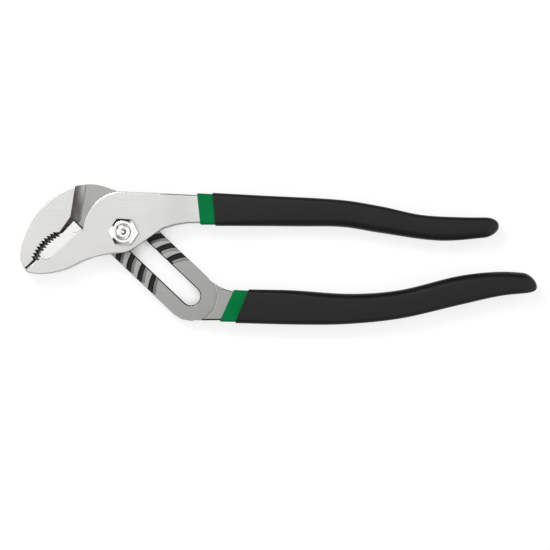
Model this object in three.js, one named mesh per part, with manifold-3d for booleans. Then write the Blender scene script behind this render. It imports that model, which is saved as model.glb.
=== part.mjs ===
// Water pump pliers with a groove joint: two forged halves turn on a bolt that stands in any of its grooves.
// Millimetres. The origin is on the pivot axis, on the flat of the bolt head. +X runs to the handles,
// and +Z to the nut.

import * as THREE from 'three';
import { mergeVertices } from 'three/addons/utils/BufferGeometryUtils.js';
import Module from 'manifold-3d';

const wasm = await Module();
wasm.setup();

const { degToRad, lerp, smoothstep } = THREE.MathUtils;
const point = (x, y) => new THREE.Vector2(x, y);
const polar = (radius, angle) => point(radius * Math.cos(angle), radius * Math.sin(angle));

// Groove joint: the bolt's settings along the slot
const SETTINGS = 7;
const GROOVE_PITCH = 8.5;
const SLOT_ANGLE = degToRad(-43.5);
const SWING_PER_SETTING = degToRad(1); // keeps the handles apart at the wide settings
const SLOT_WIDTH = 11;
const SLOT_END_ROOM = 2.4; // from an end setting to the centre of the slot's round end
const RAIL_WIDTH = 9;
const SLOT_CHAMFER = 0.5;
const RECESS_ROOM = 0.7; // from the neck's edge to the wall of its recess

// Tongue on the plate's inner face, and the grooves that take it
const PLATE_RADIUS = 23.8;
const TONGUE_INSET = 0.7; // from the plate's rim
const TONGUE_WIDTH = 1.8;
const TONGUE_HEIGHT = 2.2;
const TONGUE_START = degToRad(130);
const TONGUE_END = degToRad(172);
const GROOVE_SIDE_PLAY = 0.25;
const GROOVE_FLOOR_PLAY = 0.4;
const GROOVE_RAMP = 0.25; // run of the sloped wall on the jaw's side
const GROOVE_DRAFT = 0.4; // run of the sloped wall on the bolt's side
const GROOVE_CHAMFER = 1.9; // run of the shallow chamfer above that wall
const GROOVE_CHAMFER_DEPTH = 0.7;

// Stack along the bolt, from the back
const HEAD_HEIGHT = 3;
const HALF_THICKNESS = 5.9;
const FACE_PLAY = 0.2;
const SIDE_PLAY = 0.4; // from the lower jaw to the neck, and from the plate to the end of its recess

// Bolt and nut
const HEAD_DIAMETER = 19;
const HEAD_EDGE = 0.8;
const SHANK_DIAMETER = 10.1;
const HOLE_PLAY = 0.3;
const THREAD_DIAMETER = 8;
const THREAD_STAND_OUT = 0.9;
const THREAD_CHAMFER = 0.6;
const DIMPLE_DIAMETER = 3.4;
const DIMPLE_DEPTH = 1.2;
const NUT_ACROSS_FLATS = 15;
const NUT_HEIGHT = 6;
const NUT_TURN = degToRad(-3.8);
const NUT_TOP_DIAMETER = 12.4;
const NUT_CHAMFER_DEPTH = 1.3;

// Jaws
const FORGED_EDGE = 0.7; // rounding of the forgings' outer edges
const STEP_HOLLOW = 14; // radius of the hollow from the upper jaw's step to the neck
const STEP_SLOPE = degToRad(28); // how steeply the hollow meets the neck
const TOOTH_COUNT = 10;
const TOOTH_DEPTH = 2; // along the cut
const TOOTH_CUT = degToRad(-25); // the way in which the teeth of both jaws are cut
const TEETH_BOW = 2.1; // of the curve between the closed jaws
const TEETH_GAP = 0.5; // between the tips of their teeth
const POCKET_RADIUS = 4.65; // of the shallow pocket along the lower jaw's teeth
const POCKET_TILT = degToRad(5);

// Handles and their two dips
const UPPER_REACH = 215.6; // from the pivot to the upper handle's tip
const LOWER_REACH = 199.2; // from the end of the slot to the lower handle's tip
const HANDLE_THICKNESS = 8;
const HANDLE_EDGE = 1; // rounding of the handles' edges
const INNER_EDGE = 3; // rounding of the edges that face each other, past the mouths
const TIP_ROUND = 7; // length of each handle's rounded end
const UNDER_LAYER = 0.8;
const OUTER_LAYER = 0.6;
const LAYER_PLAY = 0.1;
const COLLAR_LENGTH = 8.8; // under layer left bare

// Levels that follow from the stack
const NECK_BACK = HEAD_HEIGHT + FACE_PLAY;
const NECK_FRONT = NECK_BACK + HALF_THICKNESS;
const PLATE_BACK = NECK_FRONT + FACE_PLAY;
const PLATE_FRONT = PLATE_BACK + HALF_THICKNESS;
const NUT_BACK = PLATE_FRONT + FACE_PLAY;
const NUT_FRONT = NUT_BACK + NUT_HEIGHT;
const BOLT_END = NUT_FRONT + THREAD_STAND_OUT;
const MIDDLE = (NECK_BACK + PLATE_FRONT) / 2;
const HANDLE_BACK = MIDDLE - HANDLE_THICKNESS / 2;
const HANDLE_FRONT = MIDDLE + HANDLE_THICKNESS / 2;
const OVERCUT = 1; // how far a cutter passes the face that it cuts
const WELL_CLEAR = 120; // reach of a cutter that passes the whole half

// The bolt's path: an arc so flat that it stays in the straight slot, one swing for each setting
const NECK_HALF = SLOT_WIDTH / 2 + RAIL_WIDTH;
const TRAVEL_SWING = SWING_PER_SETTING * (SETTINGS - 1);
const PATH_RADIUS = GROOVE_PITCH / (2 * Math.sin(SWING_PER_SETTING / 2));
const PATH_START = SLOT_ANGLE - TRAVEL_SWING / 2 - Math.PI / 2;
const PATH_CENTRE = polar(-PATH_RADIUS, PATH_START);
const PATH_RISE = PATH_RADIUS * (1 - Math.cos(TRAVEL_SWING / 2));
const ALONG = polar(1, SLOT_ANGLE);
const ACROSS = polar(1, SLOT_ANGLE + Math.PI / 2);

/** Where the pivot stands at a setting, counted from 0 with the jaws closed. */
function pivotAt(setting) {
  return polar(PATH_RADIUS, PATH_START + setting * SWING_PER_SETTING).add(PATH_CENTRE);
}

/** A point of the grooved half, by its distances along and across the slot's centre line. */
function onSlot(along, across) {
  const sideways = across - PATH_RISE / 2;
  return ALONG.clone().multiplyScalar(along).addScaledVector(ACROSS, sideways);
}

const SLOT_START = -SLOT_END_ROOM;
const SLOT_END = pivotAt(SETTINGS - 1).length() + SLOT_END_ROOM;

// Outlines, seen from the front
const UPPER_JAW_TIP = point(-57.6, -21.1);
const UPPER_JAW_BACK = [
  point(-59.9, -14.2),
  point(-57.6, -3.6),
  point(-51.2, 9),
  point(-40.2, 20.8),
  point(-29, 26.4),
  point(-17.1, 27.7),
];
const NECK_SHOULDER = onSlot(-20, NECK_HALF);
const THROAT = -25.5; // along the slot: the edge that both jaws have between the neck and their teeth
const THROAT_FOOT = -24.1; // across the slot: where it ends at the teeth
const NECK_THROAT = onSlot(THROAT - SIDE_PLAY, -NECK_HALF);
const UPPER_JAW_EDGE = onSlot(THROAT - SIDE_PLAY, THROAT_FOOT);
const TEETH_FOOT = point(-51.4, -16.1);
const TEETH_HEAD = point(-38.1, -0.9);
const STEP_FOOT = point(-31.1, 8.8);
const STEP_TOP = point(-28.2, 27);
const LOWER_JAW_TIP = point(-57.1, -21.6);
const LOWER_JAW_UNDERSIDE = [
  point(-54.4, -23.7),
  point(-44.7, -24.1),
  point(-33.4, -21.4),
  point(-22.1, -16.1),
  point(-9.5, -12.8),
  point(1.4, -11.6),
  point(9.5, -6.8),
  point(21.3, 1.4),
];
const LOWER_JAW_EDGE = onSlot(THROAT, THROAT_FOOT);
const POCKET_START = point(-45.2, -11.1);
const POCKET_END = point(-28.2, 4.1);
const LOWER_JAW_THROAT = onSlot(THROAT, -NECK_HALF - SIDE_PLAY);
const PLATE_RIM_START = degToRad(98);
const PLATE_END = point(21.3, 22.5);
const HANDLE_UNDERSIDE = point(33, 4.8); // where the upper handle's lower edge leaves the plate
const PLATE_STEP = 21.5; // where the plate's recess ends towards the handle
const PLATE_STEP_BOW = 3;

// Handle bars: edges under the dips, mouths of the dips, tips, and the levels of both faces. The upper one is
// given from the pivot, the lower one from the end of the slot.
const UPPER_HANDLE = {
  origin: point(0, 0),
  top: [
    [10, 23], [41.6, 21.7], [78.9, 19.7], [0.581 * UPPER_REACH, 17.1],
    [0.689 * UPPER_REACH, 13.4], [0.796 * UPPER_REACH, 8.5], [0.904 * UPPER_REACH, 7.1], [UPPER_REACH, 7],
  ],
  bottom: [
    [12, -2.5], [21.3, 1.5], HANDLE_UNDERSIDE.toArray(), [43.1, 5.3], [102, 5],
    [0.589 * UPPER_REACH, 4.6], [0.689 * UPPER_REACH, 1.2], [0.85 * UPPER_REACH, -3.3], [UPPER_REACH, -1],
  ],
  start: 15,
  mouth: 43.1,
  mouthSlant: -1.8,
  slantRun: 60,
  tip: point(UPPER_REACH, 3.6),
  innerSide: 'bottom',
  back: () => HANDLE_BACK,
  front: (x) => lerp(PLATE_FRONT, HANDLE_FRONT, smoothstep(x, 23, 43)),
};
const LOWER_HANDLE = {
  origin: onSlot(SLOT_END, 0),
  top: [
    [-0.5, 19.5], [11, 9], [18, 4.7], [25, 2.7], [57.8, 1.8], [0.469 * LOWER_REACH, -0.3],
    [0.61 * LOWER_REACH, 1.9], [0.785 * LOWER_REACH, 10.2], [0.902 * LOWER_REACH, 12.5], [LOWER_REACH, 11.4],
  ],
  bottom: [
    [-0.5, -14], [7.5, -14.1], [20.5, -14], [63.5, -15], [0.459 * LOWER_REACH, -14.6],
    [0.61 * LOWER_REACH, -11.4], [0.785 * LOWER_REACH, -3.4], [0.902 * LOWER_REACH, 1.7], [LOWER_REACH, 3.6],
  ],
  start: 3.5,
  mouth: 20.9,
  mouthSlant: 8,
  slantRun: 75,
  tip: point(LOWER_REACH, 5.4),
  innerSide: 'top',
  back: (x) => lerp(NECK_BACK, HANDLE_BACK, smoothstep(x, 3, 18)),
  front: () => HANDLE_FRONT,
};
const LEAD_STATIONS = 4;
const BODY_STATIONS = 15;
const TIP_STATIONS = 5;
const TIP_LAST = degToRad(80);
const CORNER_STEPS = 3;

/** A closed three.js geometry as a solid that can be joined and cut. */
function solid(geometry) {
  geometry.deleteAttribute('normal');
  geometry.deleteAttribute('uv');
  const welded = mergeVertices(geometry, 1e-4);
  return new wasm.Manifold(new wasm.Mesh({
    numProp: 3,
    vertProperties: new Float32Array(welded.attributes.position.array),
    triVerts: new Uint32Array(welded.index.array),
  }));
}

/** A named mesh of a solid, in its own material. */
function piece(name, body, material) {
  const { vertProperties, triVerts } = body.getMesh();
  const geometry = new THREE.BufferGeometry();
  geometry.setAttribute('position', new THREE.BufferAttribute(vertProperties, 3));
  geometry.setIndex(new THREE.BufferAttribute(triVerts, 1));
  const mesh = new THREE.Mesh(geometry.toNonIndexed(), material);
  mesh.geometry.computeVertexNormals();
  mesh.name = name;
  return mesh;
}

/** A flat outline raised from one level to another, with its edges rounded by bevel. */
function raised(shape, low, high, { bevel = 0, bevelSegments = 2, curveSegments = 4 } = {}) {
  const geometry = new THREE.ExtrudeGeometry(shape, {
    depth: high - low - 2 * bevel,
    bevelEnabled: bevel > 0,
    bevelThickness: bevel,
    bevelSize: bevel,
    bevelOffset: -bevel,
    bevelSegments,
    curveSegments,
  });
  return solid(geometry.translate(0, 0, low + bevel));
}

/** A profile of radius and level, turned round an upright axis. */
function turned(profile, segments, axis = point(0, 0)) {
  const geometry = new THREE.LatheGeometry(profile, segments).rotateX(Math.PI / 2);
  return solid(geometry.translate(axis.x, axis.y, 0));
}

/** Several solids as one. */
function joined(bodies) {
  return bodies.reduce((whole, body) => whole.add(body));
}

/** A profile of run and level, swept straight from one point to another. The run is to the right of the way. */
function swept(profile, from, to) {
  const way = to.clone().sub(from);
  const length = way.length();
  way.normalize();
  const run = new THREE.Vector3(way.y, -way.x, 0);
  const level = new THREE.Vector3(0, 0, 1);
  const backwards = new THREE.Vector3(-way.x, -way.y, 0);
  const section = new THREE.Shape(profile);
  const geometry = new THREE.ExtrudeGeometry(section, { depth: length, bevelEnabled: false });
  const place = new THREE.Matrix4().makeBasis(run, level, backwards).setPosition(to.x, to.y, 0);
  return solid(geometry.applyMatrix4(place));
}

/** A straight bar with round ends along the slot's centre line. */
function slotShape(from, to, half) {
  const start = onSlot(from, 0);
  const end = onSlot(to, 0);
  const side = SLOT_ANGLE + Math.PI / 2;
  const shape = new THREE.Shape();
  shape.absarc(end.x, end.y, half, side - Math.PI, side);
  shape.absarc(start.x, start.y, half, side, side + Math.PI);
  return shape;
}

/** The height of a smooth curve through points, for any x. */
function curveThrough(points) {
  const slopes = points.map((_, i) => {
    const before = points[Math.max(i - 1, 0)];
    const after = points[Math.min(i + 1, points.length - 1)];
    return (after[1] - before[1]) / (after[0] - before[0]);
  });
  return (x) => {
    const i = points.slice(1, -1).filter((passed) => passed[0] <= x).length;
    const [x0, y0] = points[i];
    const [x1, y1] = points[i + 1];
    const run = x1 - x0;
    const t = (x - x0) / run;
    const ends = lerp(y0, y1, t * t * (3 - 2 * t));
    return ends + run * t * (1 - t) * (slopes[i] * (1 - t) - slopes[i + 1] * t);
  };
}

/** A point on a handle's edge, moved out by outset square to the edge. */
function edgePoint(curve, x, outset) {
  const slope = curve(x + 0.5) - curve(x - 0.5);
  return point(x, curve(x) + outset * Math.hypot(1, slope));
}

/** The ring of a handle's cross-section at x, grown by outset on every side. */
function handleRing(handle, x, outset) {
  const roundFrom = handle.tip.x - TIP_ROUND;
  const past = Math.max(0, (x - roundFrom) / (TIP_ROUND + outset));
  const full = Math.sqrt(1 - past ** 2);
  const grown = smoothstep(x, handle.mouth, handle.mouth + handle.slantRun);
  const slant = handle.mouthSlant * (1 - grown);
  const top = edgePoint(curveThrough(handle.top), x + slant / 2, outset);
  const bottom = edgePoint(curveThrough(handle.bottom), x - slant / 2, -outset);
  const centre = top.clone().add(bottom).divideScalar(2);
  centre.y = lerp(centre.y, handle.tip.y, past ** 2);
  const up = top.clone().sub(bottom).divideScalar(2);
  const halfWidth = up.length() * full;
  up.normalize();
  const halfDepth = ((handle.front(x) - handle.back(x)) / 2 + outset) * full;
  const level = (handle.front(x) + handle.back(x)) / 2;
  const innerEdge = lerp(HANDLE_EDGE, INNER_EDGE, grown);
  const ring = [];
  for (let quarter = 0; quarter < 4; quarter++) {
    const side = quarter === 0 || quarter === 3 ? 'top' : 'bottom';
    const edge = side === handle.innerSide ? innerEdge : HANDLE_EDGE;
    const corner = Math.min((edge + outset) * full, 0.9 * halfDepth, 0.9 * halfWidth);
    const sideways = (side === 'top' ? 1 : -1) * (halfWidth - corner);
    const deep = (quarter < 2 ? 1 : -1) * (halfDepth - corner);
    for (let step = 0; step <= CORNER_STEPS; step++) {
      const angle = (quarter + step / CORNER_STEPS) * Math.PI / 2;
      const across = sideways + corner * Math.cos(angle);
      const height = level + deep + corner * Math.sin(angle);
      const place = handle.origin.clone().add(centre).addScaledVector(up, across);
      ring.push(place.x, place.y, height);
    }
  }
  return ring;
}

/** A solid through rings of equally many points, closed at both ends. */
function lofted(rings) {
  const size = rings[0].length / 3;
  const faces = [];
  for (let r = 0; r + 1 < rings.length; r++) {
    for (let i = 0; i < size; i++) {
      const next = (i + 1) % size;
      const [a, b, c, d] = [r * size + i, r * size + next, (r + 1) * size + next, (r + 1) * size + i];
      faces.push(a, b, c, a, c, d);
    }
  }
  const last = (rings.length - 1) * size;
  for (let i = 1; i + 1 < size; i++) {
    faces.push(0, i + 1, i, last, last + i, last + i + 1);
  }
  const geometry = new THREE.BufferGeometry();
  geometry.setAttribute('position', new THREE.Float32BufferAttribute(rings.flat(), 3));
  geometry.setIndex(faces);
  return solid(geometry);
}

/** The places along a handle at which all its layers have their rings. */
function handleStations(handle, outset) {
  const collarEnd = handle.mouth + COLLAR_LENGTH;
  const roundFrom = handle.tip.x - TIP_ROUND;
  const stations = [];
  for (let step = 0; step <= LEAD_STATIONS; step++) {
    stations.push(lerp(handle.start, handle.mouth, step / LEAD_STATIONS));
  }
  for (let step = 0; step < BODY_STATIONS; step++) {
    stations.push(lerp(collarEnd, roundFrom, step / BODY_STATIONS));
  }
  for (let step = 0; step <= TIP_STATIONS; step++) {
    stations.push(roundFrom + (TIP_ROUND + outset) * Math.sin(TIP_LAST * step / TIP_STATIONS));
  }
  return stations;
}

/** A handle's bar from one of its stations to its rounded tip, grown by outset on every side. */
function handleBar(handle, first, outset) {
  const stations = handleStations(handle, outset).slice(first);
  return lofted(stations.map((x) => handleRing(handle, x, outset)));
}

/** One dip on a handle: a closed sock between two outsets, open at its mouth. */
function dip(handle, first, inside, thickness) {
  const outer = handleBar(handle, first, inside + thickness);
  return outer.subtract(handleBar(handle, first - 1, inside));
}

/** The arc between the closed jaws' teeth, moved out from its centre by offset. */
function teethArc(offset) {
  const chord = TEETH_HEAD.clone().sub(TEETH_FOOT);
  const half = chord.length() / 2;
  const radius = (half ** 2 + TEETH_BOW ** 2) / (2 * TEETH_BOW);
  const inwards = point(chord.y, -chord.x).normalize();
  const centre = TEETH_FOOT.clone().addScaledVector(chord, 0.5).addScaledVector(inwards, radius - TEETH_BOW);
  return {
    centre,
    radius: radius + offset,
    head: TEETH_HEAD.clone().sub(centre).angle(),
    foot: TEETH_FOOT.clone().sub(centre).angle(),
  };
}

/** Draws an outline on along the arc of its teeth. */
function addTeethArc(shape, { centre, radius, head, foot }) {
  shape.absarc(centre.x, centre.y, radius, head, foot);
}

/** Cutters for the teeth along an arc, cut into a jaw the given way. */
function toothGaps({ centre, radius, head, foot }, cutAngle) {
  const cut = polar(1, cutAngle);
  const tip = (tooth) => polar(radius, lerp(head, foot, tooth / TOOTH_COUNT)).add(centre);
  const gaps = [];
  for (let tooth = 0; tooth < TOOTH_COUNT; tooth++) {
    const [from, to] = [tip(tooth), tip(tooth + 1)];
    const root = from.clone().add(to).divideScalar(2).addScaledVector(cut, TOOTH_DEPTH);
    const outside = [to, from].map((corner) => corner.clone().addScaledVector(cut, -OVERCUT));
    const notch = new THREE.Shape([from, root, to, ...outside]);
    gaps.push(raised(notch, NECK_BACK - OVERCUT, PLATE_FRONT + OVERCUT));
  }
  return joined(gaps);
}

const UPPER_TEETH = teethArc(TEETH_GAP / 2);
const LOWER_TEETH = teethArc(-TEETH_GAP / 2);

/** The upper jaw and the neck below it, at the full thickness of the joint. */
function upperJawBlank() {
  const end = onSlot(SLOT_END, 0);
  const side = SLOT_ANGLE + Math.PI / 2;
  const shape = new THREE.Shape();
  shape.moveTo(UPPER_JAW_TIP.x, UPPER_JAW_TIP.y);
  shape.splineThru([...UPPER_JAW_BACK, NECK_SHOULDER]);
  shape.absarc(end.x, end.y, NECK_HALF, side, side - Math.PI, true);
  shape.lineTo(NECK_THROAT.x, NECK_THROAT.y);
  shape.lineTo(UPPER_JAW_EDGE.x, UPPER_JAW_EDGE.y);
  addTeethArc(shape, UPPER_TEETH);
  return raised(shape, NECK_BACK, PLATE_FRONT, { bevel: FORGED_EDGE });
}

/** What is cut away to the right of an edge of the upper jaw's face: a hollow down to the neck's level. */
function hollowAlong(from, to, run) {
  const level = NECK_FRONT + STEP_HOLLOW * Math.cos(STEP_SLOPE);
  const edge = Math.PI + Math.asin((level - PLATE_FRONT) / STEP_HOLLOW);
  const profile = new THREE.Path();
  profile.moveTo(run, PLATE_FRONT + 2 * OVERCUT);
  profile.lineTo(0, PLATE_FRONT + 2 * OVERCUT);
  profile.absarc(-STEP_HOLLOW * Math.cos(edge), level, STEP_HOLLOW, edge, 1.5 * Math.PI - STEP_SLOPE);
  profile.lineTo(run, NECK_FRONT);
  const past = to.clone().sub(from).setLength(WELL_CLEAR);
  return swept(profile.getPoints(6), from.clone().sub(past), to.clone().add(past));
}

/** What is cut away in front of the neck, up to the upper jaw's step, and along the jaw's edge below it. */
function neckRecess() {
  const bar = slotShape(-WELL_CLEAR, SLOT_END, NECK_HALF + RECESS_ROOM);
  return raised(bar, NECK_FRONT, PLATE_FRONT + OVERCUT, { curveSegments: 12 })
    .intersect(hollowAlong(STEP_FOOT, STEP_TOP, WELL_CLEAR))
    .add(hollowAlong(TEETH_HEAD, STEP_FOOT, STEP_HOLLOW / 2));
}

/** What is cut away from the lower handle's root, so that the plate passes over it at the last setting. */
function plateRelief() {
  const last = pivotAt(SETTINGS - 1);
  const lowerEdge = [...LOWER_JAW_UNDERSIDE.slice(-2), HANDLE_UNDERSIDE].map((corner) => {
    const moved = corner.clone().rotateAround(point(0, 0), TRAVEL_SWING).add(last);
    return moved.add(point(SIDE_PLAY, -SIDE_PLAY));
  });
  const above = lowerEdge.toReversed().map((corner) => corner.clone().add(point(0, WELL_CLEAR)));
  return raised(new THREE.Shape([...lowerEdge, ...above]), NECK_FRONT, PLATE_FRONT + OVERCUT);
}

/** The groove that takes the tongue while the pivot stands at a setting. */
function grooveCutter(setting) {
  const pivot = pivotAt(setting);
  const outer = PLATE_RADIUS - TONGUE_INSET + GROOVE_SIDE_PLAY;
  const inner = PLATE_RADIUS - TONGUE_INSET - TONGUE_WIDTH - GROOVE_SIDE_PLAY;
  const floor = PLATE_BACK - TONGUE_HEIGHT - GROOVE_FLOOR_PLAY;
  const over = NECK_FRONT + OVERCUT;
  const ring = turned([
    point(inner, floor),
    point(outer, floor),
    point(outer + GROOVE_RAMP, NECK_FRONT),
    point(outer + GROOVE_RAMP, over),
    point(inner - GROOVE_DRAFT - GROOVE_CHAMFER, over),
    point(inner - GROOVE_DRAFT - GROOVE_CHAMFER, NECK_FRONT),
    point(inner - GROOVE_DRAFT, NECK_FRONT - GROOVE_CHAMFER_DEPTH),
    point(inner, floor),
  ], 120, pivot);
  const jawSide = new THREE.Shape([
    onSlot(-WELL_CLEAR, -WELL_CLEAR).add(pivot),
    onSlot(0, -WELL_CLEAR).add(pivot),
    onSlot(0, WELL_CLEAR).add(pivot),
    onSlot(-WELL_CLEAR, WELL_CLEAR).add(pivot),
  ]);
  return ring.intersect(raised(jawSide, floor - OVERCUT, over + OVERCUT));
}

/** The slot for the bolt, with a chamfer along its front edge. */
function slotCutter() {
  const half = SLOT_WIDTH / 2;
  const slot = slotShape(SLOT_START, SLOT_END, half);
  const chamfered = slotShape(SLOT_START, SLOT_END, half + SLOT_CHAMFER);
  return raised(slot, NECK_BACK - OVERCUT, PLATE_FRONT, { curveSegments: 8 })
    .add(raised(chamfered, NECK_FRONT - SLOT_CHAMFER, PLATE_FRONT, {
      bevel: SLOT_CHAMFER,
      bevelSegments: 1,
      curveSegments: 8,
    }));
}

/** The half that lies behind: upper jaw, slotted and grooved neck, lower handle's bar. */
function upperJawHalf() {
  const grooves = [];
  for (let setting = 0; setting < SETTINGS; setting++) {
    grooves.push(grooveCutter(setting));
  }
  return upperJawBlank()
    .add(handleBar(LOWER_HANDLE, 0, 0))
    .subtract(neckRecess())
    .subtract(plateRelief())
    .subtract(slotCutter())
    .subtract(joined(grooves))
    .subtract(toothGaps(UPPER_TEETH, TOOTH_CUT + Math.PI));
}

/** The lower jaw and the joint plate beside it, at the full thickness of the joint. */
function lowerJawBlank() {
  const throatSide = NECK_HALF + SIDE_PLAY + PATH_RISE / 2;
  const rimEnd = SLOT_ANGLE + Math.PI + Math.asin(throatSide / PLATE_RADIUS);
  const shape = new THREE.Shape();
  shape.moveTo(LOWER_JAW_TIP.x, LOWER_JAW_TIP.y);
  shape.splineThru(LOWER_JAW_UNDERSIDE);
  shape.lineTo(PLATE_END.x, PLATE_END.y);
  shape.absarc(0, 0, PLATE_RADIUS, PLATE_RIM_START, rimEnd);
  shape.lineTo(LOWER_JAW_THROAT.x, LOWER_JAW_THROAT.y);
  shape.lineTo(LOWER_JAW_EDGE.x, LOWER_JAW_EDGE.y);
  addTeethArc(shape, LOWER_TEETH);
  return raised(shape, NECK_BACK, PLATE_FRONT, { bevel: FORGED_EDGE, curveSegments: 6 });
}

/** What is cut away behind the plate, where the neck passes. */
function plateRecess() {
  const shape = new THREE.Shape();
  shape.moveTo(0, -WELL_CLEAR);
  shape.lineTo(PLATE_STEP, -WELL_CLEAR);
  shape.lineTo(PLATE_STEP, 0);
  shape.quadraticCurveTo(PLATE_STEP + 2 * PLATE_STEP_BOW, PLATE_RADIUS / 2, PLATE_STEP, PLATE_RADIUS);
  shape.lineTo(PLATE_STEP, WELL_CLEAR);
  shape.lineTo(0, WELL_CLEAR);
  const round = new THREE.Shape();
  round.absarc(0, 0, PLATE_RADIUS + SIDE_PLAY, 0, 2 * Math.PI);
  const towardsHandle = raised(shape, NECK_BACK - OVERCUT, PLATE_BACK, { curveSegments: 8 });
  return towardsHandle.add(raised(round, NECK_BACK - OVERCUT, PLATE_BACK, { curveSegments: 30 }));
}

/** The curved tongue on the plate's inner face. */
function tongue() {
  const outer = PLATE_RADIUS - TONGUE_INSET;
  const shape = new THREE.Shape();
  shape.absarc(0, 0, outer, TONGUE_START, TONGUE_END);
  shape.absarc(0, 0, outer - TONGUE_WIDTH, TONGUE_END, TONGUE_START, true);
  return raised(shape, PLATE_BACK - TONGUE_HEIGHT, PLATE_BACK + OVERCUT, { curveSegments: 8 });
}

/** The shallow pocket along the lower jaw's teeth: round at both ends, and deepest towards the teeth. */
function jawPocket() {
  const way = POCKET_END.clone().sub(POCKET_START);
  const shape = new THREE.Shape();
  shape.absarc(way.length(), POCKET_RADIUS, POCKET_RADIUS, -Math.PI / 2, Math.PI / 2);
  shape.absarc(0, POCKET_RADIUS, POCKET_RADIUS, Math.PI / 2, 1.5 * Math.PI);
  const geometry = new THREE.ExtrudeGeometry(shape, {
    depth: HALF_THICKNESS,
    bevelEnabled: false,
    curveSegments: 10,
  });
  geometry.rotateX(-POCKET_TILT).translate(0, -POCKET_RADIUS, 0).rotateZ(way.angle());
  return solid(geometry.translate(POCKET_START.x, POCKET_START.y, PLATE_FRONT));
}

/** The half that lies in front: lower jaw, joint plate with its tongue, upper handle's bar. */
function lowerJawHalf() {
  const hole = new THREE.Shape();
  hole.absarc(0, 0, SHANK_DIAMETER / 2 + HOLE_PLAY, 0, 2 * Math.PI);
  return lowerJawBlank()
    .add(handleBar(UPPER_HANDLE, 0, 0))
    .subtract(plateRecess())
    .add(tongue())
    .subtract(raised(hole, NECK_BACK, PLATE_FRONT + OVERCUT, { curveSegments: 20 }))
    .subtract(jawPocket())
    .subtract(toothGaps(LOWER_TEETH, TOOTH_CUT));
}

/** The shoulder bolt, with its head at the back and a dimple in its threaded end. */
function pivotBolt() {
  const head = HEAD_DIAMETER / 2;
  const shank = SHANK_DIAMETER / 2;
  const thread = THREAD_DIAMETER / 2;
  return turned([
    point(0, 0),
    point(head - HEAD_EDGE, 0),
    point(head, HEAD_EDGE),
    point(head, HEAD_HEIGHT),
    point(shank, HEAD_HEIGHT),
    point(shank, PLATE_FRONT),
    point(thread, PLATE_FRONT),
    point(thread, BOLT_END - THREAD_CHAMFER),
    point(thread - THREAD_CHAMFER, BOLT_END),
    point(DIMPLE_DIAMETER / 2, BOLT_END),
    point(0, BOLT_END - DIMPLE_DEPTH),
  ], 40);
}

/** The hexagon nut, its corners cut back by a cone. */
function pivotNut() {
  const corner = NUT_ACROSS_FLATS / Math.sqrt(3);
  const hexagon = new THREE.Shape();
  for (let side = 0; side < 6; side++) {
    const at = polar(corner, NUT_TURN + side * Math.PI / 3);
    if (side === 0) hexagon.moveTo(at.x, at.y);
    else hexagon.lineTo(at.x, at.y);
  }
  const coned = turned([
    point(0, NUT_BACK),
    point(corner + OVERCUT, NUT_BACK),
    point(corner, NUT_FRONT - NUT_CHAMFER_DEPTH),
    point(NUT_TOP_DIAMETER / 2, NUT_FRONT),
    point(0, NUT_FRONT),
  ], 48);
  const bore = new THREE.Shape();
  bore.absarc(0, 0, THREAD_DIAMETER / 2 + HOLE_PLAY, 0, 2 * Math.PI);
  return raised(hexagon, NUT_BACK, NUT_FRONT)
    .intersect(coned)
    .subtract(raised(bore, NUT_BACK - OVERCUT, NUT_FRONT + OVERCUT, { curveSegments: 16 }));
}

/** Both dips of a handle. */
function grip(name, handle) {
  const under = dip(handle, LEAD_STATIONS, LAYER_PLAY, UNDER_LAYER);
  const outer = dip(handle, LEAD_STATIONS + 1, UNDER_LAYER + 2 * LAYER_PLAY, OUTER_LAYER);
  const group = new THREE.Group();
  group.add(piece(`${name}_under_layer`, under, greenDip), piece(`${name}_outer_layer`, outer, blackDip));
  return group;
}

const nickel = new THREE.MeshStandardMaterial({ color: 0xd6d5d1, roughness: 0.35, metalness: 1 });
const brightNickel = new THREE.MeshStandardMaterial({ color: 0xe2e1de, roughness: 0.22, metalness: 1 });
const greenDip = new THREE.MeshStandardMaterial({ color: 0x0a7a42, roughness: 0.45, metalness: 0 });
const blackDip = new THREE.MeshStandardMaterial({ color: 0x2c2c2c, roughness: 0.55, metalness: 0 });

const groovedHalf = new THREE.Group();
groovedHalf.add(piece('upper_jaw_half', upperJawHalf(), nickel), grip('lower_grip', LOWER_HANDLE));

const pivot = new THREE.Group();
pivot.add(piece('pivot_bolt', pivotBolt(), brightNickel), piece('pivot_nut', pivotNut(), brightNickel));

const tongueHalf = new THREE.Group();
tongueHalf.add(piece('lower_jaw_half', lowerJawHalf(), nickel), grip('upper_grip', UPPER_HANDLE));

const pliers = new THREE.Group();
pliers.add(groovedHalf, pivot, tongueHalf);

export default pliers;
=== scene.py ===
"""Water pump pliers: refined pieces, plated and dipped finishes, and a plain studio round the part."""

import logging
import math
from dataclasses import dataclass, field
from enum import Enum
from typing import Any, Callable, Sequence

import bmesh
import bpy
import numpy as np
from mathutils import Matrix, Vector
from mathutils.geometry import intersect_point_line


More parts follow.
